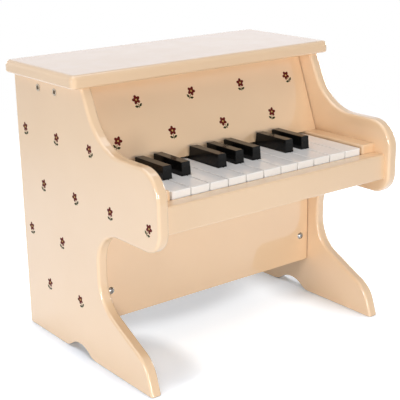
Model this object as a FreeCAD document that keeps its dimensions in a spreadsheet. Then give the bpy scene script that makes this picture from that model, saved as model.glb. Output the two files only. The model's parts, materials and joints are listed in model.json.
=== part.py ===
import FreeCAD, Part
import math
import os
import Sketcher

# Toy upright piano with eighteen keys, hammers and chime rods in a wooden case.
# Millimetres. X runs along the keyboard, -Y is the player's side, +Z is up.
# The origin is on the floor at the middle of the width and of the depth.

doc = FreeCAD.newDocument("toy_piano")
sheet = doc.addObject("Spreadsheet::Sheet", "Sizes")

# Driving sizes. A depth is measured forward from the back edge of the side panels.
SIZES = [
    # Case
    ("overall_depth", "249.5", "arm front to back edge"),
    ("case_width", "304", "outside to outside of the side panels"),
    ("case_height", "291.8", "floor to top of lid"),
    ("panel_thickness", "11.6", "side panels"),
    ("lid_width", "327.4", "lid along X"),
    ("lid_depth", "134.4", "lid along Y"),
    ("lid_thickness", "13", "lid"),
    ("lid_corner_round", "6", "upright corners of the lid"),
    ("lid_edge_round", "2.5", "lower edges of the lid"),
    ("lid_top_round", "5", "upper edges of the lid"),
    # Outline of the side panels
    ("panel_top_depth", "129.5", "front of the panel under the lid"),
    ("slope_depth", "25.4", "front slope along Y, from the panel's front to the arm"),
    ("arm_rise", "27.4", "arm top above the white keys"),
    ("arm_drop", "16.9", "arm underside below the key slip"),
    ("leg_depth", "145", "front of the leg"),
    ("instep_height", "68.6", "where the leg would meet the foot"),
    ("toe_height", "31.1", "where the foot would meet the toe"),
    ("toe_depth", "220.8", "front of the toe, upper end"),
    ("foot_depth", "231.1", "front of the toe on the floor"),
    ("slope_round", "57.4", "hollow between slope and arm"),
    ("arm_top_round", "28.7", "arm front, upper corner"),
    ("arm_bottom_round", "22", "arm front, lower corner"),
    ("knee_round", "36", "hollow under the arm"),
    ("instep_round", "40.6", "hollow above the foot"),
    ("toe_round", "33.6", "toe"),
    ("arch_middle_depth", "102.5", "middle of the arch under the foot"),
    ("arch_half_span", "22", "arch, half of its length"),
    ("arch_height", "10", "arch"),
    ("arch_round", "20", "ends of the arch"),
    ("edge_round", "3", "round-over along the front outline"),
    ("floor_edge_round", "1.2", "eased edges under the feet"),
    # Key slip, key bed, key blocks and fallboard
    ("slip_depth", "242.9", "front of the key slip"),
    ("slip_thickness", "15.1", "key slip along Y"),
    ("slip_height", "26.5", "key slip along Z"),
    ("slip_edge_round", "1.5", "upper edges of the key slip"),
    ("bed_thickness", "12", "key bed"),
    ("block_width", "17.5", "key blocks along X"),
    ("block_rise", "2.2", "key blocks above the white keys"),
    ("block_back_margin", "2.5", "key blocks behind the fallboard"),
    ("block_edge_round", "2", "inner and front edges of the key blocks"),
    ("fallboard_foot_depth", "141.25", "lower front edge of the fallboard"),
    ("fallboard_top_depth", "110.2", "upper front edge of the fallboard"),
    ("fallboard_thickness", "9.5", "fallboard along Y"),
    ("end_space", "1", "fallboard and knee panel to a side panel"),
    # Keys
    ("key_pitch", "22", "white key to white key"),
    ("key_space", "1.2", "between two white keys"),
    ("key_top", "194.7", "height of the white keys"),
    ("key_thickness", "11", "key levers along Z"),
    ("key_reveal", "7", "white keys above the key slip"),
    ("key_front_space", "1.1", "key slip to white key fronts"),
    ("key_edge_round", "0.6", "upper edges of the white keys"),
    ("white_head_length", "36", "white key front to black key front"),
    ("black_rise", "13", "black keys above the white keys"),
    ("black_skirt", "6", "black cap below the white key tops"),
    ("black_width", "11.2", "black cap at its foot"),
    ("black_draft", "2.5", "lean of the black cap's sides, in degrees"),
    ("black_edge_round", "0.6", "upper edges of the black keys"),
    ("black_side_space", "0.8", "black cap to a white key beside it"),
    ("black_front_space", "1", "black cap to the white key head before it"),
    ("black_back_space", "2", "black cap to the fallboard"),
    ("neck_margin", "8.5", "white key necks run on behind the fallboard"),
    ("tail_width", "8", "key tails along X"),
    ("tail_reach", "95", "key pivot to the hammer's nose"),
    ("tail_margin", "3", "key tail beyond the hammer's nose"),
    ("pivot_setback", "17", "key pivot in front of the fallboard's foot"),
    ("pivot_rise", "4", "key pivot above the key's underside"),
    ("pivot_rod_diameter", "4", "key pivot rod"),
    ("pivot_rod_hold", "12", "key pivot rod inside a key block"),
    ("running_space", "0.1", "radial clearance of a turning bore"),
    ("fit_space", "0.05", "radial clearance of a fixed hole"),
    ("touch_space", "0.3", "pieces that rest on each other"),
    # Felts and back rail
    ("front_felt_length", "12", "front stop felt along Y"),
    ("front_felt_height", "5.8", "front stop felt along Z"),
    ("front_felt_inset", "2", "front stop felt behind the key slip"),
    ("back_rail_width", "15", "back rail along Y"),
    ("back_felt_height", "3", "felt on the back rail"),
    ("back_rail_setback", "17", "back rail in front of the hammer's nose"),
    # Hammers and chimes
    ("nose_reach", "14", "hammer pivot to nose along Y"),
    ("nose_drop", "3.2", "nose centre below the hammer pivot"),
    ("nose_radius", "2.5", "hammer nose"),
    ("hub_radius", "4.5", "hammer hub"),
    ("head_radius", "5", "hammer head"),
    ("head_lean", "9.2", "hammer head in front of its pivot at rest"),
    ("head_space", "4", "hammer head to the stretcher above"),
    ("hammer_swing", "24", "turn of a hammer, in degrees"),
    ("hammer_width", "6", "hammers along X"),
    ("hammer_arm_width", "5", "hammer arm"),
    ("hammer_rod_diameter", "3", "hammer pivot rod"),
    ("lug_width", "2.5", "lugs of the hammer rail along X"),
    ("lug_length", "8", "lugs of the hammer rail along Y"),
    ("lug_crown", "5", "lug above the hammer pivot"),
    ("rail_width", "14", "hammer rail along Y"),
    ("rail_below", "10", "hammer rail's top below the hammer pivot"),
    ("chime_diameter", "3", "chime rods"),
    ("chime_length", "78", "free length of the lowest chime rod"),
    ("chime_hold", "10", "chime rods inside the tone bar"),
    ("bar_depth", "12", "tone bar along Y"),
    ("bar_height", "20", "tone bar along Z"),
    ("bar_end", "5", "tone bar short of the outer key edges"),
    ("bar_screw_rise", "12", "tone bar screws above its underside"),
    # Stretcher, lower case and back
    ("stretcher_height", "21.5", "top stretcher along Z"),
    ("stretcher_depth", "53", "top stretcher along Y"),
    ("knee_panel_depth", "130", "front of the knee panel"),
    ("knee_panel_thickness", "9", "knee panel"),
    ("knee_panel_bottom", "40.9", "knee panel above the floor"),
    ("knee_screw_height", "71", "knee panel screws"),
    ("knee_screw_inset", "11.4", "knee panel screws from the side panel"),
    ("batten_width", "20", "corner battens along X"),
    ("batten_depth", "14", "corner battens along Y"),
    ("back_panel_thickness", "4", "back panel"),
    ("back_panel_recess", "3", "back panel from the back edge"),
    ("back_screw_inset", "8", "back panel screws from the side panel"),
    ("back_screw_margin", "22", "back panel screws from a batten's end"),
    # Fasteners
    ("bolt_head_radius", "3.6", "socket bolts"),
    ("bolt_head_height", "3.2", "socket bolts"),
    ("bolt_head_proud", "0.4", "bolt head above the side panel"),
    ("bolt_shank_radius", "2.5", "socket bolts"),
    ("bolt_length", "45", "socket bolts"),
    ("bolt_spacing", "32.4", "two bolts of one side"),
    ("socket_radius", "2.3", "corner radius of the hexagon socket"),
    ("socket_depth", "2.5", "hexagon socket"),
    ("screw_head_radius", "4", "domed screws"),
    ("screw_head_height", "2.5", "domed screws"),
    ("screw_shank_radius", "1.75", "domed screws"),
    ("screw_length", "17", "domed screws below the head"),
    ("screw_slot_width", "1", "cross slot of a screw"),
    ("screw_slot_length", "4.4", "cross slot of a screw"),
    ("screw_slot_depth", "1.4", "cross slot of a screw"),
    ("dowel_radius", "3", "dowels"),
    ("dowel_length", "24", "dowels"),
    ("dowel_side_hold", "6", "dowel inside a side panel, sideways"),
    ("dowel_lid_hold", "9", "dowel inside the lid"),
    ("dowel_end_margin", "22", "outermost dowels from the ends of a board"),
]


class Size:
    """A measure that carries its value and the sheet expression that gives it."""

    def __init__(self, value, text):
        self.value = float(value)
        self.text = text

    def __add__(self, other):
        other = as_size(other)
        return Size(self.value + other.value, f"({self.text} + {other.text})")

    def __radd__(self, other):
        return as_size(other) + self

    def __sub__(self, other):
        other = as_size(other)
        return Size(self.value - other.value, f"({self.text} - {other.text})")

    def __rsub__(self, other):
        return as_size(other) - self

    def __mul__(self, other):
        other = as_size(other)
        return Size(self.value * other.value, f"({self.text} * {other.text})")

    def __rmul__(self, other):
        return as_size(other) * self

    def __truediv__(self, other):
        other = as_size(other)
        return Size(self.value / other.value, f"({self.text} / {other.text})")

    def __neg__(self):
        return as_size(0) - self


def as_size(measure):
    """A plain number becomes a constant measure."""
    if isinstance(measure, Size):
        return measure
    return Size(measure, f"({measure!r})")


class Sheet:
    """Holds every driving size under its alias."""


for row, (alias, amount, note) in enumerate(SIZES, start=1):
    sheet.set(f"A{row}", alias)
    sheet.set(f"B{row}", amount)
    sheet.set(f"C{row}", note)
    sheet.setAlias(f"B{row}", alias)
doc.recompute()

d = Sheet()
for alias, amount, note in SIZES:
    setattr(d, alias, Size(sheet.get(alias), f"Sizes.{alias}"))

TURN_TO_X = FreeCAD.Rotation(FreeCAD.Vector(0, 1, 0), 90)
TURN_TO_BACK = FreeCAD.Rotation(FreeCAD.Vector(1, 0, 0), -90)
TURN_TO_FRONT = FreeCAD.Rotation(FreeCAD.Vector(1, 0, 0), 90)
TURN_TO_MINUS_X = FreeCAD.Rotation(FreeCAD.Vector(0, 1, 0), -90)
NO_TURN = FreeCAD.Rotation()


def bind(thing, prop, measure):
    """Ties one property to the sheet."""
    thing.setExpression(prop, as_size(measure).text)


def place(thing, x, y, z, rotation=NO_TURN):
    """Turns an object, then ties its position to the sheet."""
    thing.Placement = FreeCAD.Placement(FreeCAD.Vector(0, 0, 0), rotation)
    bind(thing, "Placement.Base.x", x)
    bind(thing, "Placement.Base.y", y)
    bind(thing, "Placement.Base.z", z)
    return thing


def box(name, x_range, y_range, z_range):
    """A board between two limits on each axis."""
    board = doc.addObject("Part::Box", name)
    for prop, limits in (("Length", x_range), ("Width", y_range), ("Height", z_range)):
        bind(board, prop, limits[1] - limits[0])
    return place(board, x_range[0], y_range[0], z_range[0])


def cylinder(name, radius, length, start, rotation=NO_TURN):
    """A round bar from its start point along the turned Z axis."""
    bar = doc.addObject("Part::Cylinder", name)
    bind(bar, "Radius", radius)
    bind(bar, "Height", length)
    return place(bar, *start, rotation)


def compound(name, pieces):
    """Separate solids that share one node."""
    group = doc.addObject("Part::Compound", name)
    group.Links = pieces
    return group


def fuse(name, pieces):
    """Shapes joined into one solid."""
    whole = doc.addObject("Part::MultiFuse", name)
    whole.Shapes = pieces
    return whole


def cut(name, base, tool):
    """A shape with another one taken out of it."""
    rest = doc.addObject("Part::Cut", name)
    rest.Base = base
    rest.Tool = tool
    return rest


def new_body(name, x, y, z):
    """An empty body at a place tied to the sheet."""
    return place(doc.addObject("PartDesign::Body", name), x, y, z)


def new_sketch(body, role, level=None):
    """A sketch on one of the body's own planes, lifted along its normal if asked."""
    sketch = body.newObject("Sketcher::SketchObject", f"{body.Name}_sketch")
    for plane in body.Origin.OriginFeatures:
        if plane.Role == role:
            sketch.AttachmentSupport = [(plane, "")]
    sketch.MapMode = "FlatFace"
    if level is not None:
        bind(sketch, "AttachmentOffset.Base.z", level)
    return sketch


def pin_point(sketch, geometry, point, across, up):
    """Ties one point of a sketch to the sheet."""
    for kind, measure in (("DistanceX", across), ("DistanceY", up)):
        measure = as_size(measure)
        index = sketch.addConstraint(Sketcher.Constraint(kind, -1, 1, geometry, point, measure.value))
        bind(sketch, f"Constraints[{index}]", measure)


def polygon_sketch(body, role, corners, level=None):
    """A closed outline of straight lines through corners tied to the sheet."""
    sketch = new_sketch(body, role, level)
    points = [FreeCAD.Vector(as_size(u).value, as_size(v).value, 0) for u, v in corners]
    count = len(points)
    for i in range(count):
        sketch.addGeometry(Part.LineSegment(points[i], points[(i + 1) % count]), False)
    for i in range(count):
        sketch.addConstraint(Sketcher.Constraint("Coincident", i, 2, (i + 1) % count, 1))
    for i, (u, v) in enumerate(corners):
        pin_point(sketch, i, 1, u, v)
    return sketch


def circle_sketch(body, role, circles, level=None):
    """Circles with centres and radii tied to the sheet."""
    sketch = new_sketch(body, role, level)
    for u, v, radius in circles:
        centre = FreeCAD.Vector(as_size(u).value, as_size(v).value, 0)
        radius = as_size(radius)
        normal = FreeCAD.Vector(0, 0, 1)
        geometry = sketch.addGeometry(Part.Circle(centre, normal, radius.value), False)
        pin_point(sketch, geometry, 3, u, v)
        index = sketch.addConstraint(Sketcher.Constraint("Radius", geometry, radius.value))
        bind(sketch, f"Constraints[{index}]", radius)
    return sketch


def pad(body, sketch, length, draft=None):
    """Adds material along the sketch's normal."""
    feature = body.newObject("PartDesign::Pad", f"{body.Name}_pad")
    feature.Profile = sketch
    bind(feature, "Length", length)
    if draft is not None:
        bind(feature, "TaperAngle", -draft)
    doc.recompute()
    return feature


def pocket(body, sketch, length=None, along_normal=True):
    """Takes material away, through everything if no length is given."""
    feature = body.newObject("PartDesign::Pocket", f"{body.Name}_pocket")
    feature.Profile = sketch
    feature.Reversed = along_normal
    if length is None:
        feature.Type = "ThroughAll"
    else:
        bind(feature, "Length", length)
    before = body.Shape.Volume
    doc.recompute()
    if not body.Shape.Volume < before:
        raise RuntimeError(f"a pocket of {body.Name} took nothing away")
    return feature


def round_edges(body, radius, wanted):
    """Rounds the edges of the body's last feature that the test accepts."""
    base = body.Tip
    names = [f"Edge{i}" for i, edge in enumerate(base.Shape.Edges, start=1) if wanted(edge)]
    if not names:
        raise RuntimeError(f"no edge of {body.Name} to round")
    feature = body.newObject("PartDesign::Fillet", f"{body.Name}_round")
    feature.Base = (base, names)
    bind(feature, "Radius", radius)
    doc.recompute()
    return feature


def near(first, second):
    """Whether two lengths agree for the choice of an edge."""
    return abs(first - as_size(second).value) < 0.01


def middle_of(edge):
    """The point halfway along an edge."""
    return edge.valueAt((edge.FirstParameter + edge.LastParameter) / 2)


def sine(angle):
    """Sine of an angle in degrees."""
    return Size(math.sin(math.radians(angle.value)), f"sin({angle.text} * 1 deg)")


def at_most(measure, limit):
    """A radius that its wall may limit."""
    return Size(min(measure.value, limit.value), f"min({measure.text}; {limit.text})")


def cosine(angle):
    """Cosine of an angle in degrees."""
    return Size(math.cos(math.radians(angle.value)), f"cos({angle.text} * 1 deg)")


# Levels and places that follow from the driving sizes
back = d.overall_depth / 2


def forward(depth):
    """Y of a place given by its depth."""
    return back - depth


outer = d.case_width / 2
inner = outer - d.panel_thickness
board_half = inner - d.end_space
lid_bottom = d.case_height - d.lid_thickness
slip_top = d.key_top - d.key_reveal
slip_bottom = slip_top - d.slip_height
bed_top = slip_bottom + d.bed_thickness
slip_back = forward(d.slip_depth) + d.slip_thickness
arm_top = d.key_top + d.arm_rise
arm_bottom = slip_bottom - d.arm_drop
block_top = d.key_top + d.block_rise
block_inner = inner - d.block_width
fall_foot = forward(d.fallboard_foot_depth)
fall_top = forward(d.fallboard_top_depth)
fall_back = fall_foot + d.fallboard_thickness
block_back = fall_back + d.block_back_margin
key_bottom = d.key_top - d.key_thickness
key_front = slip_back + d.key_front_space
black_front = key_front + d.white_head_length
black_back = fall_foot - d.black_back_space
neck_end = fall_back + d.neck_margin
pivot_y = fall_foot - d.pivot_setback
pivot_z = key_bottom + d.pivot_rise
pivot_bore = d.pivot_rod_diameter / 2 + d.running_space
nose_y = pivot_y + d.tail_reach
tail_end = nose_y + d.tail_margin
hammer_y = nose_y + d.nose_reach
hammer_z = d.key_top + d.touch_space + d.nose_radius + d.nose_drop
stretcher_bottom = lid_bottom - d.stretcher_height
head_height = stretcher_bottom - d.head_space - d.head_radius - hammer_z
strike_y = hammer_y - d.head_lean * cosine(d.hammer_swing) + head_height * sine(d.hammer_swing)
chime_y = strike_y + d.head_radius + d.touch_space + d.chime_diameter / 2
bar_front = chime_y - d.bar_depth / 2
bar_back = chime_y + d.bar_depth / 2
stretcher_middle = bar_front - d.stretcher_depth / 2
bolt_z = lid_bottom - d.stretcher_height / 2
bolt_places = [stretcher_middle - d.bolt_spacing / 2, stretcher_middle + d.bolt_spacing / 2]
knee_front = forward(d.knee_panel_depth)
knee_back = knee_front + d.knee_panel_thickness
back_outside = back - d.back_panel_recess
back_inside = back_outside - d.back_panel_thickness
bed_middle_z = (slip_bottom + bed_top) / 2
slip_middle_y = forward(d.slip_depth) + d.slip_thickness / 2
slip_middle_z = (slip_bottom + slip_top) / 2
dowel_hole = d.dowel_radius + d.fit_space
bed_dowel_places = [
    slip_back + d.dowel_end_margin,
    (slip_back + back_inside) / 2,
    back_inside - d.dowel_end_margin,
]
lid_dowel_places = [forward(d.panel_top_depth) + d.dowel_end_margin, back - d.dowel_end_margin]
panel_middle_x = outer - d.panel_thickness / 2

# Where the keys stand. Each entry tells which white key has a black key at its right.
WHITE_COUNT = 11
BLACK_AFTER = (0, 1, 3, 4, 5, 7, 8)


def white_middle(index):
    """X of the middle of a white key."""
    return d.key_pitch * (index - (WHITE_COUNT - 1) / 2)


def black_middle(index):
    """X of the black key at the right of a white key."""
    return d.key_pitch * (index + 1 - WHITE_COUNT / 2)


def neck_limits(index):
    """X limits of the narrow part of a white key between its black neighbours."""
    half_key = (d.key_pitch - d.key_space) / 2
    half_slot = d.black_width / 2 + d.black_side_space
    left = white_middle(index) - half_key
    right = white_middle(index) + half_key
    if index - 1 in BLACK_AFTER:
        left = black_middle(index - 1) + half_slot
    if index in BLACK_AFTER:
        right = black_middle(index) - half_slot
    return left, right


tail_middles = []
for index in range(WHITE_COUNT):
    left, right = neck_limits(index)
    tail_middles.append((left + right) / 2)
    if index in BLACK_AFTER:
        tail_middles.append(black_middle(index))

nodes = []


def finish(thing, label):
    """Names a finished piece and puts it on the list of nodes."""
    thing.Label = label
    nodes.append(thing)
    return thing


# Side panels: the same outline on both sides, drilled from inside and outside.
# A hollow is rounded over at most this share of the straight wall beside it.
SLOPE_SHARE = 0.7
KNEE_SHARE = 0.5
INSTEP_SHARE = 0.75


def side_panel(label, side):
    """One side panel. Side is -1 for the left and 1 for the right."""
    start = -outer if side < 0 else inner
    body = new_body(label, start, 0, 0)
    slope_foot = forward(d.panel_top_depth + d.slope_depth)
    corners = [
        (back, 0),
        (back, lid_bottom),
        (forward(d.panel_top_depth), lid_bottom),
        (slope_foot, arm_top),
        (forward(d.overall_depth), arm_top),
        (forward(d.overall_depth), arm_bottom),
        (forward(d.leg_depth), arm_bottom),
        (forward(d.leg_depth), d.instep_height),
        (forward(d.toe_depth), d.toe_height),
        (forward(d.foot_depth), 0),
    ]
    pad(body, polygon_sketch(body, "YZ_Plane", corners), d.panel_thickness)
    arm_wall = slope_foot - forward(d.overall_depth)
    leg_wall = arm_bottom - d.instep_height
    rounds = [
        (3, at_most(d.slope_round, arm_wall * SLOPE_SHARE)),
        (4, d.arm_top_round),
        (5, d.arm_bottom_round),
        (6, at_most(d.knee_round, leg_wall * KNEE_SHARE)),
        (7, at_most(d.instep_round, leg_wall * INSTEP_SHARE)),
        (8, d.toe_round),
    ]
    for number, radius in rounds:
        corner_y, corner_z = corners[number]
        round_edges(body, radius, lambda edge: runs_through(edge, corner_y, corner_z))

    arch_y = forward(d.arch_middle_depth)
    arch_radius = (d.arch_half_span * d.arch_half_span + d.arch_height * d.arch_height) / (2 * d.arch_height)
    arch = circle_sketch(body, "YZ_Plane", [(arch_y, d.arch_height - arch_radius, arch_radius)])
    pocket(body, arch)
    for end_y in (arch_y - d.arch_half_span, arch_y + d.arch_half_span):
        round_edges(body, d.arch_round, lambda edge: runs_through(edge, end_y, as_size(0)))
    round_edges(body, d.edge_round, on_front_outline)
    round_edges(body, d.floor_edge_round, on_floor)

    bolt_circles = [(y, bolt_z, d.bolt_shank_radius + d.fit_space) for y in bolt_places]
    pocket(body, circle_sketch(body, "YZ_Plane", bolt_circles))
    head_circles = [(y, bolt_z, d.bolt_head_radius + d.fit_space) for y in bolt_places]
    head_seat = d.bolt_head_height - d.bolt_head_proud
    dowels = [(y, bed_middle_z, dowel_hole) for y in bed_dowel_places]
    dowels.append((slip_middle_y, slip_middle_z, dowel_hole))
    if side < 0:
        pocket(body, circle_sketch(body, "YZ_Plane", head_circles), head_seat)
        inside = circle_sketch(body, "YZ_Plane", dowels, d.panel_thickness)
        pocket(body, inside, d.dowel_side_hold, False)
    else:
        outside = circle_sketch(body, "YZ_Plane", head_circles, d.panel_thickness)
        pocket(body, outside, head_seat, False)
        pocket(body, circle_sketch(body, "YZ_Plane", dowels), d.dowel_side_hold)
    tops = [(d.panel_thickness / 2, y, dowel_hole) for y in lid_dowel_places]
    top_sketch = circle_sketch(body, "XY_Plane", tops, lid_bottom)
    pocket(body, top_sketch, d.dowel_length - d.dowel_lid_hold, False)
    return finish(body, label)


def runs_through(edge, y, z):
    """Whether an edge crosses the panel at one corner of its outline."""
    return all(near(v.Point.y, y) and near(v.Point.z, z) for v in edge.Vertexes)


def on_front_outline(edge):
    """Whether an edge of a side panel belongs to the rounded front outline."""
    point = middle_of(edge)
    first, last = edge.Vertexes[0].Point, edge.Vertexes[-1].Point
    on_face = near(first.x, last.x) and (near(point.x, 0) or near(point.x, d.panel_thickness))
    in_front = point.y < forward(d.panel_top_depth).value
    under_foot = point.z < d.arch_height.value and point.y > forward(d.toe_depth).value
    return on_face and in_front and not under_foot


def on_floor(edge):
    """Whether an edge of a side panel lies along the floor."""
    first, last = edge.Vertexes[0].Point, edge.Vertexes[-1].Point
    along = near(first.x, last.x) and not near(first.y, last.y)
    return along and near(first.z, 0) and near(last.z, 0) and near(middle_of(edge).z, 0)


side_panel("left_side_panel", -1)
side_panel("right_side_panel", 1)

# Lid, drilled from below for the dowels.
# Its edges are rounded over at most these shares of its thickness and of its corners.
LID_WALL_SHARE = 0.45
LID_CORNER_SHARE = 0.9


def lid_round(radius):
    """A round of the lid that its thickness or its corners may limit."""
    within_wall = at_most(radius, d.lid_thickness * LID_WALL_SHARE)
    return at_most(within_wall, d.lid_corner_round * LID_CORNER_SHARE)


lid = new_body("top_lid", 0, 0, lid_bottom)
lid_corners = [
    (-d.lid_width / 2, forward(d.lid_depth)),
    (d.lid_width / 2, forward(d.lid_depth)),
    (d.lid_width / 2, back),
    (-d.lid_width / 2, back),
]
pad(lid, polygon_sketch(lid, "XY_Plane", lid_corners), d.lid_thickness)
round_edges(lid, d.lid_corner_round, lambda edge: near(middle_of(edge).z, d.lid_thickness / 2))
round_edges(lid, lid_round(d.lid_top_round), lambda edge: near(middle_of(edge).z, d.lid_thickness))
round_edges(lid, lid_round(d.lid_edge_round), lambda edge: near(middle_of(edge).z, 0))
lid_holes = [(x, y, dowel_hole) for x in (-panel_middle_x, panel_middle_x) for y in lid_dowel_places]
pocket(lid, circle_sketch(lid, "XY_Plane", lid_holes), d.dowel_lid_hold)
finish(lid, "top_lid")

# Fallboard, leaning back above the key blocks
fallboard = new_body("fallboard", -board_half, 0, 0)
fall_corners = [
    (fall_foot, block_top),
    (fall_back, block_top),
    (fall_top + d.fallboard_thickness, lid_bottom),
    (fall_top, lid_bottom),
]
pad(fallboard, polygon_sketch(fallboard, "YZ_Plane", fall_corners), 2 * board_half)
finish(fallboard, "fallboard")

# Key slip, drilled at both ends for a dowel
key_slip = new_body("key_slip", -inner, 0, 0)
slip_corners = [
    (forward(d.slip_depth), slip_bottom),
    (slip_back, slip_bottom),
    (slip_back, slip_top),
    (forward(d.slip_depth), slip_top),
]
pad(key_slip, polygon_sketch(key_slip, "YZ_Plane", slip_corners), 2 * inner)
round_edges(
    key_slip,
    d.slip_edge_round,
    lambda edge: near(middle_of(edge).x, inner) and not near(middle_of(edge).y, slip_back),
)
slip_hole = [(slip_middle_y, slip_middle_z, dowel_hole)]
dowel_board_hold = d.dowel_length - d.dowel_side_hold
pocket(key_slip, circle_sketch(key_slip, "YZ_Plane", slip_hole), dowel_board_hold)
pocket(key_slip, circle_sketch(key_slip, "YZ_Plane", slip_hole, 2 * inner), dowel_board_hold, False)
finish(key_slip, "key_slip")


# Key blocks, bored for the key pivot rod
def key_block(label, side):
    """One key block. Side is -1 for the left and 1 for the right."""
    start = -inner if side < 0 else block_inner
    body = new_body(label, start, 0, 0)
    corners = [(slip_back, bed_top), (block_back, bed_top), (block_back, block_top), (slip_back, block_top)]
    pad(body, polygon_sketch(body, "YZ_Plane", corners), d.block_width)
    free_x = d.block_width if side < 0 else as_size(0)

    def shows(edge):
        """Whether the edge is one of those that a player sees."""
        point = middle_of(edge)
        at_top = near(point.z, block_top)
        at_front = near(point.y, slip_back)
        return (near(point.x, free_x) and (at_top or at_front)) or (at_top and at_front)

    round_edges(body, d.block_edge_round, shows)
    hole = [(pivot_y, pivot_z, d.pivot_rod_diameter / 2 + d.fit_space)]
    level = d.block_width if side < 0 else None
    pocket(body, circle_sketch(body, "YZ_Plane", hole, level), d.pivot_rod_hold, side > 0)
    return finish(body, label)


key_block("left_key_block", -1)
key_block("right_key_block", 1)


# Keys
def pivot_hole(body, width):
    """Bores a key for the pivot rod, right through its width."""
    circle = [(pivot_y, pivot_z, pivot_bore)]
    sketch = circle_sketch(body, "YZ_Plane", circle, -width)
    pocket(body, sketch)


def white_key(index):
    """One white key: wide head, neck between the black keys, narrow tail."""
    label = f"white_key_{index + 1:02d}"
    body = new_body(label, white_middle(index), 0, 0)
    half_key = (d.key_pitch - d.key_space) / 2
    left, right = [limit - white_middle(index) for limit in neck_limits(index)]
    middle = (left + right) / 2
    head_end = black_front - d.black_front_space
    outline = [(-half_key, key_front), (half_key, key_front)]
    if index in BLACK_AFTER:
        outline += [(half_key, head_end), (right, head_end)]
    outline += [(right, neck_end), (middle + d.tail_width / 2, neck_end)]
    outline += [(middle + d.tail_width / 2, tail_end), (middle - d.tail_width / 2, tail_end)]
    outline += [(middle - d.tail_width / 2, neck_end), (left, neck_end)]
    if index - 1 in BLACK_AFTER:
        outline += [(left, head_end), (-half_key, head_end)]
    pad(body, polygon_sketch(body, "XY_Plane", outline, key_bottom), d.key_thickness)

    def on_head(edge):
        """Whether the edge bounds the top of the playing surface at its sides or front."""
        point = middle_of(edge)
        at_side = near(point.x, half_key) or near(point.x, -half_key)
        at_front = near(point.y, key_front)
        return (near(point.z, d.key_top) or at_front) and (at_side or at_front) and not near(point.z, key_bottom)

    round_edges(body, d.key_edge_round, on_head)
    pivot_hole(body, d.key_pitch)
    return finish(body, label)


def black_key(number, index):
    """One black key: lever with a drafted cap."""
    label = f"black_key_{number:02d}"
    body = new_body(label, black_middle(index), 0, 0)
    half_tail = d.tail_width / 2
    lever = [(-half_tail, black_front), (half_tail, black_front), (half_tail, tail_end), (-half_tail, tail_end)]
    pad(body, polygon_sketch(body, "XY_Plane", lever, key_bottom), d.key_thickness)
    half_cap = d.black_width / 2
    foot = [(-half_cap, black_front), (half_cap, black_front), (half_cap, black_back), (-half_cap, black_back)]
    cap = polygon_sketch(body, "XY_Plane", foot, d.key_top - d.black_skirt)
    pad(body, cap, d.black_skirt + d.black_rise, d.black_draft)
    cap_top = d.key_top + d.black_rise
    round_edges(body, d.black_edge_round, lambda edge: near(middle_of(edge).z, cap_top))
    pivot_hole(body, d.key_pitch)
    return finish(body, label)


black_number = 0
for index in range(WHITE_COUNT):
    white_key(index)
    if index in BLACK_AFTER:
        black_number += 1
        black_key(black_number, index)

# Key pivot rod
rod_end = block_inner + d.pivot_rod_hold - d.touch_space
rod = cylinder("key_pivot_rod", d.pivot_rod_diameter / 2, 2 * rod_end, (-rod_end, pivot_y, pivot_z), TURN_TO_X)
finish(rod, "key_pivot_rod")


# Hammers
def hammer(number, middle):
    """One hammer: hub, arm and head, with a nose that lies on the key tail."""
    label = f"hammer_{number:02d}"
    body = new_body(label, middle - d.hammer_width / 2, hammer_y, hammer_z)
    half_arm = d.hammer_arm_width / 2
    nose_top = d.nose_radius - d.nose_drop
    lever = [
        (-d.nose_reach, -d.nose_drop - d.nose_radius / 3),
        (0, -d.hub_radius),
        (d.hub_radius, 0),
        (half_arm, d.hub_radius),
        (half_arm - d.head_lean, head_height),
        (-half_arm - d.head_lean, head_height),
        (-d.hub_radius, d.hub_radius),
        (-d.nose_reach, nose_top),
    ]
    pad(body, polygon_sketch(body, "YZ_Plane", lever), d.hammer_width)
    rounds = [
        (0, 0, d.hub_radius),
        (-d.nose_reach, -d.nose_drop, d.nose_radius),
        (-d.head_lean, head_height, d.head_radius),
    ]
    pad(body, circle_sketch(body, "YZ_Plane", rounds), d.hammer_width)
    bore = [(0, 0, d.hammer_rod_diameter / 2 + d.running_space)]
    pocket(body, circle_sketch(body, "YZ_Plane", bore))
    return finish(body, label)


for number, middle in enumerate(tail_middles, start=1):
    hammer(number, middle)


# Domed screws with a cross slot, and the holes they stand in
def screw(name, start, rotation):
    """A screw whose head rests on its start point and whose shank runs along the turned Z axis."""
    shank = cylinder(f"{name}_shank", d.screw_shank_radius, d.screw_length, (0, 0, 0))
    dome_radius = (
        d.screw_head_radius * d.screw_head_radius + d.screw_head_height * d.screw_head_height
    ) / (2 * d.screw_head_height)
    ball = doc.addObject("Part::Sphere", f"{name}_ball")
    bind(ball, "Radius", dome_radius)
    place(ball, 0, 0, dome_radius - d.screw_head_height)
    reach = 2 * d.screw_head_radius
    limit = box(f"{name}_limit", (-reach, reach), (-reach, reach), (-reach, as_size(0)))
    dome = doc.addObject("Part::Common", f"{name}_dome")
    dome.Base = ball
    dome.Tool = limit
    whole = fuse(f"{name}_whole", [dome, shank])
    half_slot = d.screw_slot_width / 2
    half_length = d.screw_slot_length / 2
    depth = (-d.screw_head_height - half_slot, d.screw_slot_depth - d.screw_head_height)
    slots = fuse(
        f"{name}_slots",
        [
            box(f"{name}_slot_a", (-half_length, half_length), (-half_slot, half_slot), depth),
            box(f"{name}_slot_b", (-half_slot, half_slot), (-half_length, half_length), depth),
        ],
    )
    return place(cut(name, whole, slots), *start, rotation)


def screw_hole(name, start, rotation):
    """The hole that a screw's shank fills."""
    return cylinder(name, d.screw_shank_radius + d.fit_space, d.screw_length + d.touch_space, start, rotation)


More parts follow.
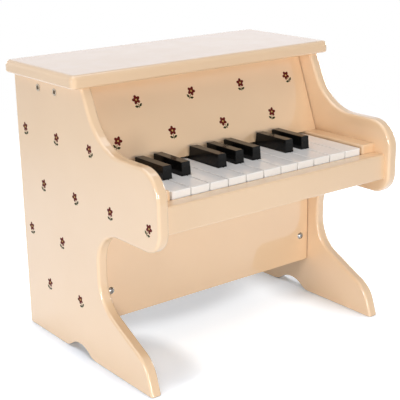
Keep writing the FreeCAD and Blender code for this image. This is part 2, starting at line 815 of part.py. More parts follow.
knee_x = inner - d.knee_screw_inset
knee_starts = [(-knee_x, knee_front, d.knee_screw_height), (knee_x, knee_front, d.knee_screw_height)]
back_x = inner - d.back_screw_inset
back_levels = [
    d.knee_panel_bottom + d.back_screw_margin,
    slip_bottom - d.back_screw_margin,
    bed_top + d.back_screw_margin,
    lid_bottom - d.back_screw_margin,
]
back_starts = [(x, back_outside, z) for x in (-back_x, back_x) for z in back_levels]
bar_z = stretcher_bottom + d.bar_screw_rise
bar_half = d.key_pitch * (WHITE_COUNT / 2) - d.bar_end
bar_starts = [(x, bar_back, bar_z) for x in (white_middle(2.5), white_middle(5.5), white_middle(9.5))]
rail_starts = [(x, hammer_y, slip_bottom) for x in (-block_inner, block_inner)]

screw_groups = [
    ("knee", knee_starts, TURN_TO_BACK),
    ("back", back_starts, TURN_TO_FRONT),
    ("bar", bar_starts, TURN_TO_FRONT),
    ("rail", rail_starts, NO_TURN),
]
all_screws = []
holes = {}
for group, starts, rotation in screw_groups:
    tools = []
    for number, start in enumerate(starts, start=1):
        all_screws.append(screw(f"{group}_screw_{number}", start, rotation))
        tools.append(screw_hole(f"{group}_hole_{number}", start, rotation))
    holes[group] = compound(f"{group}_holes", tools)
finish(compound("panel_screws", all_screws), "panel_screws")

# Lower case and back
knee_z = (d.knee_panel_bottom, slip_bottom)
knee_board = box("knee_board", (-board_half, board_half), (knee_front, knee_back), knee_z)
finish(cut("knee_panel", knee_board, holes["knee"]), "knee_panel")

back_board = box("back_board", (-inner, inner), (back_inside, back_outside), (d.knee_panel_bottom, lid_bottom))
finish(cut("back_panel", back_board, holes["back"]), "back_panel")

battens = []
for side, x_range in (("left", (-inner, d.batten_width - inner)), ("right", (inner - d.batten_width, inner))):
    low = (d.knee_panel_bottom, slip_bottom)
    high = (bed_top, lid_bottom)
    rear = (back_inside - d.batten_depth, back_inside)
    battens.append(box(f"{side}_knee_batten", x_range, (knee_back, knee_back + d.batten_depth), low))
    battens.append(box(f"{side}_low_batten", x_range, rear, low))
    battens.append(box(f"{side}_high_batten", x_range, rear, high))
batten_holes = compound("batten_holes", [holes["knee"], holes["back"]])
finish(cut("corner_battens", compound("batten_boards", battens), batten_holes), "corner_battens")

# Dowels, and the holes for them in the key bed
dowels = []
bed_tools = []
dowel_start = inner + d.dowel_side_hold
for number, y in enumerate(bed_dowel_places, start=1):
    for side, x, turn in (("left", -dowel_start, TURN_TO_X), ("right", dowel_start, TURN_TO_MINUS_X)):
        start = (x, y, bed_middle_z)
        dowels.append(cylinder(f"bed_dowel_{side}_{number}", d.dowel_radius, d.dowel_length, start, turn))
        bed_tools.append(cylinder(f"bed_hole_{side}_{number}", dowel_hole, d.dowel_length, start, turn))
for side, x, turn in (("left", -dowel_start, TURN_TO_X), ("right", dowel_start, TURN_TO_MINUS_X)):
    start = (x, slip_middle_y, slip_middle_z)
    dowels.append(cylinder(f"slip_dowel_{side}", d.dowel_radius, d.dowel_length, start, turn))
lid_dowel_start = lid_bottom + d.dowel_lid_hold - d.dowel_length
for number, y in enumerate(lid_dowel_places, start=1):
    for side, x in (("left", -panel_middle_x), ("right", panel_middle_x)):
        start = (x, y, lid_dowel_start)
        dowels.append(cylinder(f"lid_dowel_{side}_{number}", d.dowel_radius, d.dowel_length, start))
finish(compound("dowels", dowels), "dowels")

bed_board = box("bed_board", (-inner, inner), (slip_back, back_inside), (slip_bottom, bed_top))
bed_holes = compound("bed_holes", bed_tools + [holes["rail"]])
finish(cut("key_bed", bed_board, bed_holes), "key_bed")

# Felts and back rail under the keys
felt_front = slip_back + d.front_felt_inset
felt_x = (-block_inner + d.touch_space, block_inner - d.touch_space)
felt_z = (bed_top, bed_top + d.front_felt_height)
finish(box("front_felt", felt_x, (felt_front, felt_front + d.front_felt_length), felt_z), "front_stop_felt")
rail_y = (nose_y - d.back_rail_setback, nose_y - d.back_rail_setback + d.back_rail_width)
back_felt_top = key_bottom - d.touch_space
back_rail_top = back_felt_top - d.back_felt_height
finish(box("back_rail", (-inner, inner), rail_y, (bed_top, back_rail_top)), "back_rail")
finish(box("back_felt", felt_x, rail_y, (back_rail_top, back_felt_top)), "back_rest_felt")

# Hammer rail with a lug on each side of every hammer, and its pivot rod
end_step = d.key_pitch / 4
lug_middles = [tail_middles[0] - end_step]
for first, second in zip(tail_middles, tail_middles[1:]):
    lug_middles.append((first + second) / 2)
lug_middles.append(tail_middles[-1] + end_step)
rail_top = hammer_z - d.rail_below
rail_range = (hammer_y - d.rail_width / 2, hammer_y + d.rail_width / 2)
rail_pieces = [box("rail_base", (-inner, inner), rail_range, (bed_top, rail_top))]
for number, middle in enumerate(lug_middles, start=1):
    lug_x = (middle - d.lug_width / 2, middle + d.lug_width / 2)
    lug_y = (hammer_y - d.lug_length / 2, hammer_y + d.lug_length / 2)
    rail_pieces.append(box(f"lug_{number}", lug_x, lug_y, (rail_top - d.lug_width, hammer_z + d.lug_crown)))
hammer_rod_radius = d.hammer_rod_diameter / 2
hammer_rod_start = (lug_middles[0] - d.lug_width, hammer_y, hammer_z)
hammer_rod_length = lug_middles[-1] - lug_middles[0] + 2 * d.lug_width
rail_bore = cylinder("rail_bore", hammer_rod_radius + d.fit_space, hammer_rod_length, hammer_rod_start, TURN_TO_X)
rail_holes = compound("rail_cuts", [rail_bore, holes["rail"]])
finish(cut("hammer_rail", fuse("rail_blank", rail_pieces), rail_holes), "hammer_rail")
hammer_rod = cylinder("hammer_rod", hammer_rod_radius, hammer_rod_length, hammer_rod_start, TURN_TO_X)
finish(hammer_rod, "hammer_pivot_rod")

# Tone bar and chime rods. A semitone shortens a rod by a twenty-fourth of an octave.
SEMITONE_LENGTH = 2 ** (-1 / 24)
bar_range = (stretcher_bottom, stretcher_bottom + d.bar_height)
bar_block = box("bar_block", (-bar_half, bar_half), (bar_front, bar_back), bar_range)
chimes = []
bar_tools = [holes["bar"]]
for number, middle in enumerate(tail_middles, start=1):
    free_length = d.chime_length * SEMITONE_LENGTH ** (number - 1)
    radius = d.chime_diameter / 2
    start = (middle, chime_y, stretcher_bottom - free_length)
    length = free_length + d.chime_hold
    chimes.append(cylinder(f"chime_{number}", radius, length, start))
    bar_tools.append(cylinder(f"chime_hole_{number}", radius + d.fit_space, length, start))
finish(cut("tone_bar", bar_block, compound("bar_cuts", bar_tools)), "tone_bar")
finish(compound("chime_rods", chimes), "chime_rods")

# Top stretcher and the socket bolts that hold it between the side panels
bolts = []
bolt_holes = []
bolt_start = outer + d.bolt_head_proud
for side, x, turn in (("left", -bolt_start, TURN_TO_X), ("right", bolt_start, TURN_TO_MINUS_X)):
    for number, y in enumerate(bolt_places, start=1):
        name = f"{side}_bolt_{number}"
        head = cylinder(f"{name}_head", d.bolt_head_radius, d.bolt_head_height, (0, 0, 0))
        shank = cylinder(f"{name}_shank", d.bolt_shank_radius, d.bolt_length, (0, 0, 0))
        socket = doc.addObject("Part::Prism", f"{name}_socket")
        socket.Polygon = 6
        bind(socket, "Circumradius", d.socket_radius)
        bind(socket, "Height", d.socket_depth)
        bolt = cut(name, fuse(f"{name}_blank", [head, shank]), socket)
        bolts.append(place(bolt, x, y, bolt_z, turn))
        hole_radius = d.bolt_shank_radius + d.fit_space
        hole_length = d.bolt_length + d.touch_space
        bolt_holes.append(cylinder(f"{name}_hole", hole_radius, hole_length, (x, y, bolt_z), turn))
finish(compound("stretcher_bolts", bolts), "stretcher_bolts")
stretcher_y = (bar_front - d.stretcher_depth, bar_front)
stretcher_board = box("stretcher_board", (-inner, inner), stretcher_y, (stretcher_bottom, lid_bottom))
stretcher_cuts = compound("stretcher_cuts", bolt_holes + [holes["bar"]])
finish(cut("top_stretcher", stretcher_board, stretcher_cuts), "top_stretcher")

# Every object is sound before anything is written
doc.recompute()
for thing in doc.Objects:
    if "Invalid" in thing.State or "Error" in thing.State:
        raise RuntimeError(f"{thing.Name} did not build: {thing.State}")
for thing in nodes:
    if thing.Shape.isNull() or not thing.Shape.isValid() or not thing.Shape.Solids:
        raise RuntimeError(f"{thing.Label} has no sound shape")
os.makedirs("parts", exist_ok=True)
for thing in nodes:
    thing.Shape.exportStep(f"parts/{thing.Label}.step")
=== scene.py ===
import json
import math

import bmesh
import bpy
from mathutils import Matrix, Vector
from mathutils.bvhtree import BVHTree


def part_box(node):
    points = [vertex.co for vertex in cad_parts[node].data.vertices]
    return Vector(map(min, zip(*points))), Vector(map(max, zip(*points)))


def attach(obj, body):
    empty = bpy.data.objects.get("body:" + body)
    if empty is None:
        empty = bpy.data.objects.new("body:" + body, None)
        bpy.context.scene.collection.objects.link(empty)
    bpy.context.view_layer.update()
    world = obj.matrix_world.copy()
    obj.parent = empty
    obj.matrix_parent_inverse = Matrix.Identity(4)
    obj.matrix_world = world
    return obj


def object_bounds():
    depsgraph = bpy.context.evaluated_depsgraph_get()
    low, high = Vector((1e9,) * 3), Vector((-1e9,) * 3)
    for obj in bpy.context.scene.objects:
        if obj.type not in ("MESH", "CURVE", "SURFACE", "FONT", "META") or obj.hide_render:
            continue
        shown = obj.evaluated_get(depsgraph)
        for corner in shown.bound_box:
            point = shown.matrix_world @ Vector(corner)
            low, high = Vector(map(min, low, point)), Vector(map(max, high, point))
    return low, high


# Toy upright piano in glossy cream lacquer. Metres, +Z up, -Y is the player's side.
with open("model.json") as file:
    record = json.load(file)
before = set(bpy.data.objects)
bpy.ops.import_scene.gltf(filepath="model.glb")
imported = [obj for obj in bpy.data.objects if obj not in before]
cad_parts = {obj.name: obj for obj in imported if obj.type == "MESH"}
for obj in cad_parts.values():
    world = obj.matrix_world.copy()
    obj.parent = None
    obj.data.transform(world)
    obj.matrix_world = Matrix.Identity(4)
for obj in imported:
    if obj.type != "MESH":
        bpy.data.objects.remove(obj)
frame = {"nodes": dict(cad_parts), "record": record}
cad_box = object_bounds()
UP = Vector((0, 0, 1))

# Camera, found by fitting the corners of the object to the picture
CAMERA_PLACE = Vector((-0.6301, -0.8085, 0.4574))
CAMERA_YAW = math.radians(37.443)
CAMERA_PITCH = math.radians(17.264)
CAMERA_ROLL = math.radians(-0.923)
CAMERA_SENSOR = 36.0
CAMERA_LENS = 91.315

# Colours, linear
CREAM = (0.82, 0.575, 0.355)
CREAM_DEEP = (0.79, 0.545, 0.33)
KEY_WHITE = (0.92, 0.905, 0.88)
KEY_WHITE_DEEP = (0.88, 0.86, 0.825)
KEY_BLACK = (0.003, 0.003, 0.0032)
KEY_BLACK_PALE = (0.006, 0.0056, 0.005)
WOOD_PALE = (0.66, 0.47, 0.27)
WOOD_DARK = (0.46, 0.29, 0.145)
FELT_RED = (0.25, 0.022, 0.018)
FELT_RED_PALE = (0.36, 0.05, 0.04)
PLASTIC = (0.72, 0.70, 0.65)
PLASTIC_DEEP = (0.62, 0.60, 0.55)
STEEL = (0.60, 0.60, 0.61)
STEEL_DEEP = (0.46, 0.46, 0.47)
IRON = (0.075, 0.075, 0.08)
IRON_PALE = (0.12, 0.12, 0.125)
CHROME = (0.50, 0.49, 0.47)
CHROME_DEEP = (0.36, 0.35, 0.34)
BOLT = (0.50, 0.43, 0.34)
BOLT_DEEP = (0.40, 0.34, 0.27)
PETAL_RED = (0.095, 0.009, 0.007)
PETAL_RED_PALE = (0.14, 0.017, 0.012)
LEAF_GREEN = (0.026, 0.026, 0.007)
LEAF_GREEN_PALE = (0.042, 0.042, 0.012)
POLLEN = (0.62, 0.40, 0.13)
POLLEN_DEEP = (0.46, 0.26, 0.07)
PAPER = (0.82, 0.89, 0.98)
PAPER_LIFT = (0.98, 1.0, 1.02)
WHITE = (1.0, 1.0, 1.0)

# Most values of a noise lie between these two
NOISE_LOW = 0.3
NOISE_HIGH = 0.7


# Short calls for shader nodes
def mapped(tree, value, start, end, smooth=False):
    """A number taken from the start range to the end range."""
    node = tree.nodes.new("ShaderNodeMapRange")
    if smooth:
        node.interpolation_type = "SMOOTHSTEP"
    for name, limits in (("From", start), ("To", end)):
        node.inputs[f"{name} Min"].default_value = limits[0]
        node.inputs[f"{name} Max"].default_value = limits[1]
    tree.links.new(value, node.inputs["Value"])
    return node.outputs["Result"]


def combined(tree, operation, first, second):
    """One number made of two."""
    node = tree.nodes.new("ShaderNodeMath")
    node.operation = operation
    tree.links.new(first, node.inputs[0])
    tree.links.new(second, node.inputs[1])
    return node.outputs["Value"]


def length_of(tree, vector):
    """How long a vector is."""
    node = tree.nodes.new("ShaderNodeVectorMath")
    node.operation = "LENGTH"
    tree.links.new(vector, node.inputs[0])
    return node.outputs["Value"]


# Finishes
class Finish:
    """A material with short calls for what the finishes share."""

    def __init__(self, name):
        self.material = bpy.data.materials.new(name)
        self.material.use_nodes = True
        self.tree = self.material.node_tree
        self.shader = self.tree.nodes["Principled BSDF"]
        self.place = self.tree.nodes.new("ShaderNodeTexCoord").outputs["Object"]

    def link(self, source, socket):
        """Joins an output to an input."""
        self.tree.links.new(source, socket)

    def settle(self, **constants):
        """Sets what is the same all over the surface. An underscore stands for a space."""
        for name, value in constants.items():
            self.shader.inputs[name.replace("_", " ")].default_value = value

    def drawn_out(self, along_x):
        """The place on the object, with X scaled so that marks get longer along it."""
        mapping = self.tree.nodes.new("ShaderNodeMapping")
        mapping.inputs["Scale"].default_value = (along_x, 1.0, 1.0)
        self.link(self.place, mapping.inputs["Vector"])
        return mapping.outputs["Vector"]

    def noise(self, scale, detail=2.0, place=None):
        """Soft random values from 0 to 1, with so many turns to the metre."""
        node = self.tree.nodes.new("ShaderNodeTexNoise")
        node.inputs["Scale"].default_value = scale
        node.inputs["Detail"].default_value = detail
        self.link(place or self.place, node.inputs["Vector"])
        return node.outputs["Fac"]

    def colour(self, value, first, second):
        """Blends two colours by a noise and paints the surface with the result."""
        ramp = self.tree.nodes.new("ShaderNodeValToRGB")
        steps = ((NOISE_LOW, first), (NOISE_HIGH, second))
        for element, (position, shade) in zip(ramp.color_ramp.elements, steps):
            element.position = position
            element.color = (*shade, 1.0)
        self.link(value, ramp.inputs["Fac"])
        self.link(ramp.outputs["Color"], self.shader.inputs["Base Color"])

    def roughness(self, value, low, high):
        """Lets the roughness wander between two values."""
        wandering = mapped(self.tree, value, (NOISE_LOW, NOISE_HIGH), (low, high))
        self.link(wandering, self.shader.inputs["Roughness"])

    def relief(self, height, depth, strength=1.0):
        """Raises the surface by a noise, as deep as given."""
        node = self.tree.nodes.new("ShaderNodeBump")
        node.inputs["Strength"].default_value = strength
        node.inputs["Distance"].default_value = depth
        self.link(height, node.inputs["Height"])
        self.link(node.outputs["Normal"], self.shader.inputs["Normal"])


def lacquer(name, first, second, gloss, peel, coat_ior=1.5, sheen=0.15, blur=0.03):
    """Sprayed lacquer: slow drift of tone, orange peel and a clear coat."""
    finish = Finish(name)
    finish.colour(finish.noise(scale=9.0, detail=4.0), first, second)
    finish.roughness(finish.noise(scale=40.0), low=0.34, high=0.44)
    finish.relief(finish.noise(scale=420.0, detail=1.0), depth=peel)
    finish.settle(Coat_Weight=gloss, Coat_Roughness=blur, Coat_IOR=coat_ior)
    finish.settle(IOR=1.45, Specular_IOR_Level=sheen)
    return finish.material


def bare_wood(name):
    """Sanded wood with its grain along X."""
    finish = Finish(name)
    grain = finish.noise(scale=60.0, detail=6.0, place=finish.drawn_out(along_x=0.08))
    pores = finish.noise(scale=900.0, detail=2.0, place=finish.drawn_out(along_x=0.04))
    finish.colour(grain, WOOD_DARK, WOOD_PALE)
    finish.roughness(grain, low=0.55, high=0.70)
    finish.relief(pores, depth=0.00012, strength=0.6)
    finish.settle(IOR=1.45)
    return finish.material


def pressed_felt(name):
    """Matted wool fibres."""
    finish = Finish(name)
    fibres = finish.noise(scale=1400.0, detail=6.0)
    finish.colour(fibres, FELT_RED, FELT_RED_PALE)
    finish.roughness(fibres, low=0.85, high=0.95)
    finish.relief(fibres, depth=0.0004)
    finish.settle(Sheen_Weight=0.5, Sheen_Roughness=0.5)
    return finish.material


def moulded_plastic(name):
    """Matt plastic with the faint grain of its mould."""
    finish = Finish(name)
    grain = finish.noise(scale=1600.0, detail=3.0)
    finish.colour(finish.noise(scale=70.0, detail=3.0), PLASTIC_DEEP, PLASTIC)
    finish.roughness(grain, low=0.42, high=0.55)
    finish.relief(grain, depth=0.00004)
    finish.settle(IOR=1.46)
    return finish.material


def metal(name, first, second, roughness, along_x, depth, spread=0.12):
    """Metal with drawn or cast marks, which a smaller scale along X draws out."""
    finish = Finish(name)
    marks = finish.noise(scale=1500.0, detail=4.0, place=finish.drawn_out(along_x))
    finish.colour(marks, first, second)
    finish.roughness(marks, low=roughness, high=roughness + spread)
    finish.relief(marks, depth, strength=0.5)
    finish.settle(Metallic=1.0)
    return finish.material


def printed_ink(name, first, second):
    """Matt ink laid on the lacquer, with its slight mottle."""
    finish = Finish(name)
    mottle = finish.noise(scale=800.0, detail=3.0)
    finish.colour(mottle, first, second)
    finish.roughness(mottle, low=0.50, high=0.62)
    finish.settle(IOR=1.45, Specular_IOR_Level=0.12)
    return finish.material


FINISHES = {
    "lacquer": lacquer(
        "cream_lacquer", CREAM_DEEP, CREAM, gloss=1.0, peel=0.000006, coat_ior=1.6
    ),
    "plain_wood": bare_wood("bare_wood"),
    "white_key": lacquer("white_key_lacquer", KEY_WHITE_DEEP, KEY_WHITE, gloss=0.8, peel=0.00001),
    "black_key": lacquer(
        "black_key_lacquer", KEY_BLACK, KEY_BLACK_PALE, gloss=1.0, peel=0.000006,
        coat_ior=1.28, sheen=0.0, blur=0.14
    ),
    "felt": pressed_felt("red_felt"),
    "action_plastic": moulded_plastic("hammer_plastic"),
    "steel": metal("drawn_steel", STEEL_DEEP, STEEL, roughness=0.25, along_x=0.05, depth=0.00002),
    "tone_metal": metal("cast_tone_metal", IRON, IRON_PALE, roughness=0.5, along_x=1.0, depth=0.00012),
    "bright_metal": metal(
        "plated_screws", CHROME_DEEP, CHROME, roughness=0.20, along_x=0.6, depth=0.00001
    ),
    "bolt_metal": metal("plated_bolts", BOLT_DEEP, BOLT, roughness=0.42, along_x=0.6, depth=0.00001),
}
INKS = {
    "petal": printed_ink("petal_ink", PETAL_RED, PETAL_RED_PALE),
    "leaf": printed_ink("leaf_ink", LEAF_GREEN, LEAF_GREEN_PALE),
    "pollen": printed_ink("pollen_ink", POLLEN_DEEP, POLLEN),
}


def dress(node, material):
    """Gives a node of the frame its finish."""
    slot = node.material_slots[0]
    slot.link = "OBJECT"
    slot.material = material


for subpart in frame["record"]["subparts"]:
    dress(frame["nodes"][subpart["node"]], FINISHES[subpart["material_slot"]])

# Printed flowers: petals round a dot, on a stem with two leaves
PETAL_COUNT = 5
PETAL_RADIUS = 0.0023
PETAL_ASPECT = 0.72
PETAL_OFFSET = 0.0026
POLLEN_RADIUS = 0.0010
STEM_LENGTH = 0.0050
STEM_WIDTH = 0.0007
# How far below the ring of the petals' middles the stem starts, in petal radii
STEM_START = 0.5
LEAF_LENGTH = 0.0046
LEAF_WIDTH = 0.0025
# Where the leaves leave the stem, as a share of it from its foot
LEAF_ROOT = 0.25
RIGHT_LEAF_TURN = math.radians(28)
LEFT_LEAF_TURN = math.radians(152)
# How far the flower's head stands above the place that it is printed on
MOTIF_RISE = 0.0024
INK_THICKNESS = 0.00005
INK_DEPTH = 0.00003
POLLEN_LIFT = 0.00003
RING_STEPS = 16


def oval(centre_x, centre_y, half_length, half_width, turn):
    """Points of an oval whose long axis is turned from X."""
    points = []
    for step in range(RING_STEPS):
        angle = 2 * math.pi * step / RING_STEPS
        along = half_length * math.cos(angle)
        across = half_width * math.sin(angle)
        x = centre_x + along * math.cos(turn) - across * math.sin(turn)
        y = centre_y + along * math.sin(turn) + across * math.cos(turn)
        points.append((x, y))
    return points


def leaf(root_x, root_y, turn):
    """Points of a leaf with a sharp tip, from its root outward."""
    points = []
    half_steps = RING_STEPS // 2
    for step in range(half_steps + 1):
        share = step / half_steps
        points.append((LEAF_LENGTH * share, -LEAF_WIDTH / 2 * math.sin(math.pi * share)))
    for step in range(half_steps - 1, 0, -1):
        share = step / half_steps
        points.append((LEAF_LENGTH * share, LEAF_WIDTH / 2 * math.sin(math.pi * share)))
    cos, sin = math.cos(turn), math.sin(turn)
    return [(root_x + x * cos - y * sin, root_y + x * sin + y * cos) for x, y in points]


def motif_shapes():
    """Outlines of one flower with the ink and the top level of each."""
    shapes = []
    for number in range(PETAL_COUNT):
        turn = math.pi / 2 + 2 * math.pi * number / PETAL_COUNT
        x = PETAL_OFFSET * math.cos(turn)
        y = MOTIF_RISE + PETAL_OFFSET * math.sin(turn)
        petal = oval(x, y, PETAL_RADIUS, PETAL_RADIUS * PETAL_ASPECT, turn)
        shapes.append((petal, "petal", INK_THICKNESS))
    dot = oval(0, MOTIF_RISE, POLLEN_RADIUS, POLLEN_RADIUS, 0)
    shapes.append((dot, "pollen", INK_THICKNESS + POLLEN_LIFT))
    stem_top = MOTIF_RISE - PETAL_OFFSET - PETAL_RADIUS * STEM_START
    stem_foot = stem_top - STEM_LENGTH
    half = STEM_WIDTH / 2
    stem = [(-half, stem_foot), (half, stem_foot), (half, stem_top), (-half, stem_top)]
    shapes.append((stem, "leaf", INK_THICKNESS))
    leaf_root = stem_foot + STEM_LENGTH * LEAF_ROOT
    shapes.append((leaf(half, leaf_root, RIGHT_LEAF_TURN), "leaf", INK_THICKNESS))
    shapes.append((leaf(-half, leaf_root, LEFT_LEAF_TURN), "leaf", INK_THICKNESS))
    return shapes


def add_plate(mesh, outline, place, top, slot_number):
    """A closed thin plate of ink with this outline."""
    lower = [mesh.verts.new(place @ Vector((x, y, -INK_DEPTH))) for x, y in outline]
    upper = [mesh.verts.new(place @ Vector((x, y, top))) for x, y in outline]
    count = len(outline)
    faces = [mesh.faces.new(upper), mesh.faces.new(lower[::-1])]
    for i in range(count):
        j = (i + 1) % count
        faces.append(mesh.faces.new((lower[i], lower[j], upper[j], upper[i])))
    for face in faces:
        face.material_index = slot_number


# A flower needs flat board around it this far out, tried in so many directions
MOTIF_CLEARANCE = 0.0105
CLEARANCE_TRIES = 8
# A ray that looks for a board starts at least this far before the point
RAY_START = 1.0


class Board:
    """One face of a node that carries print."""

    def __init__(self, node, looking):
        mesh = bmesh.new()
        mesh.from_mesh(frame["nodes"][node].data)
        self.tree = BVHTree.FromBMesh(mesh)
        mesh.free()
        self.looking = Vector(looking)
        low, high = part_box(node)
        self.middle = (low + high) / 2
        self.outside = max((high - low).length, RAY_START)

    def hit(self, point):
        """Where the board is met on the way through a point, and which way it faces there."""
        start = point - self.looking * self.outside
        place, normal, _, _ = self.tree.ray_cast(start, self.looking)
        return place, normal

    def level_place(self, point):
        """The turned place for a flower, or nothing where the board isn't flat around it."""
        place, normal = self.hit(point)
        if place is None:
            return None
        up = (UP - normal * normal.z).normalized()
        right = up.cross(normal)
        for step in range(CLEARANCE_TRIES):
            angle = 2 * math.pi * step / CLEARANCE_TRIES
            offset = (right * math.cos(angle) + up * math.sin(angle)) * MOTIF_CLEARANCE
            near, _ = self.hit(point + offset)
            if near is None or abs((near - place).dot(normal)) > INK_DEPTH:
                return None
        turned = Matrix((right, up, normal)).transposed().to_4x4()
        return Matrix.Translation(place) @ turned


# Each flower leans by one of so many steps, in degrees, which are taken in a mixed order
LEAN_STEP = 14
LEAN_COUNT = 5
LEAN_STRIDE = 2


def lean(number):
    """The turn of a flower in its own plane."""
    steps = (number * LEAN_STRIDE) % LEAN_COUNT - LEAN_COUNT // 2
    return Matrix.Rotation(math.radians(LEAN_STEP * steps), 4, "Z")


def print_flowers(name, board, points):
    """All flowers of one board as one piece on the case."""
    mesh = bmesh.new()
    slots = list(INKS)
    shapes = motif_shapes()
    for number, point in enumerate(points):
        place = board.level_place(point)
        if place is None:
            continue
        for outline, ink, top in shapes:
            add_plate(mesh, outline, place @ lean(number), top, slots.index(ink))
    data = bpy.data.meshes.new(name)
    mesh.to_mesh(data)
    mesh.free()
    for ink in slots:
        data.materials.append(INKS[ink])
    piece = bpy.data.objects.new(name, data)
    bpy.context.scene.collection.objects.link(piece)
    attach(piece, "case")


# Flowers stand in staggered rows: columns and rows, and the steps from one to the next
PANEL_GRID = (5, 6)
PANEL_STEPS = (0.062, 0.054)
FALLBOARD_GRID = (4, 2)
FALLBOARD_STEPS = (0.066, 0.034)
STAGGER = 0.25


def staggered(centre, across, grid, steps):
    """Points in rows, the second, fourth and so on moved by half a step."""
    columns, rows = grid
    column_step, row_step = steps
    points = []
    for row in range(rows):
        shift = STAGGER if row % 2 else -STAGGER
        for column in range(columns):
            along = (column + shift - (columns - 1) / 2) * column_step
            height = (row - (rows - 1) / 2) * row_step
            points.append(centre + across * along + UP * height)
    return points


# Prints: name, node, the way one looks at it, the way its rows run, grid and steps
PRINTS = [
    ("left_panel_print", "left_side_panel", (1, 0, 0), (0, 1, 0), PANEL_GRID, PANEL_STEPS),
    ("right_panel_print", "right_side_panel", (-1, 0, 0), (0, 1, 0), PANEL_GRID, PANEL_STEPS),
    ("fallboard_print", "fallboard", (0, 1, 0), (1, 0, 0), FALLBOARD_GRID, FALLBOARD_STEPS),
]
for name, node, looking, across, grid, steps in PRINTS:
    board = Board(node, looking)
    print_flowers(name, board, staggered(board.middle, Vector(across), grid, steps))

# Floor that fades into the white surroundings
FLOOR_RADIUS = 1.6
FLOOR_SEGMENTS = 64
FADE_RANGE = (0.55, 1.15)
# Ovals of painted shadow, where the floor's glow towards white is held back: the middle and the half
# lengths of each oval
PAINTED_SHADOW_PLACES = [((0.0, 0.085), (0.17, 0.08)), ((-0.110, -0.035), (0.055, 0.095))]
# The lift towards white grows between these shares of an oval, from the first strength to the second
LIFT_RANGE = (0.45, 1.0)
LIFT_STRENGTH = (0.36, 0.68)
# How near the object paints a contact shadow on the floor by holding back the glow, and how open a
# place must be to stay bright
CONTACT_REACH = 0.05
CONTACT_RANGE = (0.35, 0.95)
FULL_RANGE = (0.0, 1.0)


def seen_directly(tree):
    """One for what the camera, a mirror or a glass shows, zero for light that is scattered."""
    path = tree.nodes.new("ShaderNodeLightPath")
    total = path.outputs["Is Camera Ray"]
    for name in ("Is Glossy Ray", "Is Transmission Ray"):
        total = combined(tree, "MAXIMUM", total, path.outputs[name])
    return total


def lift_around(tree, place, middle, half_lengths):
    """The floor's glow towards white, which is small in an oval of painted shadow."""
    around = tree.nodes.new("ShaderNodeMapping")
    around.vector_type = "TEXTURE"
    around.inputs["Location"].default_value = (*middle, 0)
    around.inputs["Scale"].default_value = (*half_lengths, 1)
    tree.links.new(place, around.inputs["Vector"])
    apart = length_of(tree, around.outputs["Vector"])
    return mapped(tree, apart, LIFT_RANGE, LIFT_STRENGTH, smooth=True)


def painted_contact_shadow(tree):
    """Painted contact shadow: zero where the object is close to the floor, one where the floor lies
    open.
    """
    touch = tree.nodes.new("ShaderNodeAmbientOcclusion")
    touch.inputs["Distance"].default_value = CONTACT_REACH
    return mapped(tree, touch.outputs["AO"], CONTACT_RANGE, FULL_RANGE)


def lift_strength(tree, place):
    """How strongly each place of the floor glows towards white; where the glow is held back, in the
    ovals and near the object, the shade is painted shadow.
    """
    lift = None
    for middle, half_lengths in PAINTED_SHADOW_PLACES:
        other = lift_around(tree, place, middle, half_lengths)
        lift = other if lift is None else combined(tree, "MINIMUM", lift, other)
    lift = combined(tree, "MULTIPLY", lift, painted_contact_shadow(tree))
    return combined(tree, "MULTIPLY", seen_directly(tree), lift)


def floor_material():
    """White paper with its shadows, glowing towards white away from the object and held back near it
    as painted shadow, clear at its rim.
    """
    material = bpy.data.materials.new("white_paper")
    material.use_nodes = True
    tree = material.node_tree
    tree.nodes.clear()
    place = tree.nodes.new("ShaderNodeTexCoord").outputs["Object"]
    paper = tree.nodes.new("ShaderNodeBsdfDiffuse")
    paper.inputs["Color"].default_value = (*PAPER, 1.0)
    lift = tree.nodes.new("ShaderNodeEmission")
    lift.inputs["Color"].default_value = (*PAPER_LIFT, 1.0)
    tree.links.new(lift_strength(tree, place), lift.inputs["Strength"])
    lifted = tree.nodes.new("ShaderNodeAddShader")
    tree.links.new(paper.outputs["BSDF"], lifted.inputs[0])
    tree.links.new(lift.outputs["Emission"], lifted.inputs[1])
    fade = mapped(tree, length_of(tree, place), FADE_RANGE, FULL_RANGE, smooth=True)
    clear = tree.nodes.new("ShaderNodeBsdfTransparent")
    blend = tree.nodes.new("ShaderNodeMixShader")
    tree.links.new(fade, blend.inputs["Fac"])
    tree.links.new(lifted.outputs["Shader"], blend.inputs[1])
    tree.links.new(clear.outputs["BSDF"], blend.inputs[2])
    output = tree.nodes.new("ShaderNodeOutputMaterial")
    tree.links.new(blend.outputs["Shader"], output.inputs["Surface"])
    return material


def make_floor():
    """A round floor under the feet."""
    mesh = bmesh.new()
    bmesh.ops.create_circle(mesh, cap_ends=True, segments=FLOOR_SEGMENTS, radius=FLOOR_RADIUS)
    data = bpy.data.meshes.new("floor")
    mesh.to_mesh(data)
    mesh.free()
    data.materials.append(floor_material())
    floor = bpy.data.objects.new("floor", data)
    floor.location.z = cad_box[0].z
    bpy.context.scene.collection.objects.link(floor)


make_floor()

# Surroundings: white to look at, faint as a light
SURROUND_LIGHT = 0.01


def make_surroundings():
    """A white world that lights the object less than it shows."""
    world = bpy.data.worlds.new("white_surroundings")
    bpy.context.scene.world = world
    world.use_nodes = True
    tree = world.node_tree
    background = tree.nodes["Background"]
    background.inputs["Color"].default_value = (*WHITE, 1.0)
    strength = mapped(tree, seen_directly(tree), FULL_RANGE, (SURROUND_LIGHT, 1.0))
    tree.links.new(strength, background.inputs["Strength"])


make_surroundings()

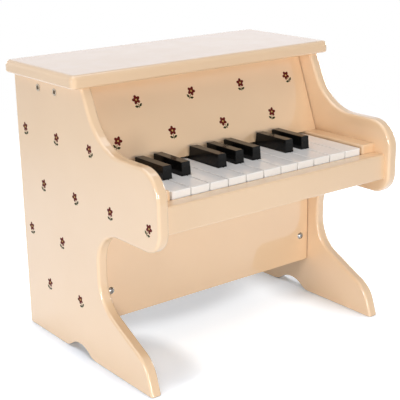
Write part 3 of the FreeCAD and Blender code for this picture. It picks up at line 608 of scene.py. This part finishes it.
# Lamps: name, place, width and height, watts, colour, and whether the gloss shows its image
LAMPS = [
    ("left_strip", (-1.60, -0.25, 0.285), (0.16, 0.49), 10.9, (0.95, 1.0, 1.09), True),
    ("front_left_strip", (-0.85, -1.40, 0.31), (0.16, 0.52), 9.0, WHITE, True),
    ("front_box", (0.10, -2.00, 0.40), (1.20, 0.40), 13.6, WHITE, False),
    ("right_box", (1.90, 0.30, 0.385), (1.00, 0.37), 16.0, WHITE, True),
    ("back_box", (-0.10, 2.00, 0.40), (1.20, 0.40), 19.0, WHITE, True),
    ("back_right_box", (1.26, 1.80, 0.66), (1.80, 0.80), 0.55, (0.75, 0.85, 1.40), True),
    ("top_box", (-0.10, 0.10, 2.00), (2.00, 2.00), 26.0, (0.98, 1.0, 1.05), True),
]


def soft_box(name, place, size, watts, colour, in_gloss):
    """An oblong soft box that faces the middle of the object and isn't seen itself."""
    lamp = bpy.data.lights.new(name, "AREA")
    lamp.shape = "RECTANGLE"
    lamp.size, lamp.size_y = size
    lamp.energy = watts
    lamp.color = colour
    holder = bpy.data.objects.new(name, lamp)
    holder.visible_camera = False
    holder.visible_glossy = in_gloss
    target = (cad_box[0] + cad_box[1]) / 2
    holder.location = Vector(place)
    holder.rotation_euler = (target - holder.location).to_track_quat("-Z", "Y").to_euler()
    bpy.context.scene.collection.objects.link(holder)


for lamp_row in LAMPS:
    soft_box(*lamp_row)


def make_camera():
    """The camera at the picture's viewing angle."""
    lens = bpy.data.cameras.new("camera")
    lens.sensor_width = CAMERA_SENSOR
    lens.lens = CAMERA_LENS
    holder = bpy.data.objects.new("camera", lens)
    level = math.cos(CAMERA_PITCH)
    forward = Vector(
        (math.sin(CAMERA_YAW) * level, math.cos(CAMERA_YAW) * level, -math.sin(CAMERA_PITCH))
    )
    flat_right = Vector((math.cos(CAMERA_YAW), -math.sin(CAMERA_YAW), 0))
    flat_up = flat_right.cross(forward)
    right = flat_right * math.cos(CAMERA_ROLL) + flat_up * math.sin(CAMERA_ROLL)
    up = flat_up * math.cos(CAMERA_ROLL) - flat_right * math.sin(CAMERA_ROLL)
    turned = Matrix((right, up, -forward)).transposed().to_4x4()
    holder.matrix_world = Matrix.Translation(CAMERA_PLACE) @ turned
    bpy.context.scene.collection.objects.link(holder)
    bpy.context.scene.camera = holder


make_camera()
bpy.context.scene.view_settings.view_transform = "Standard"
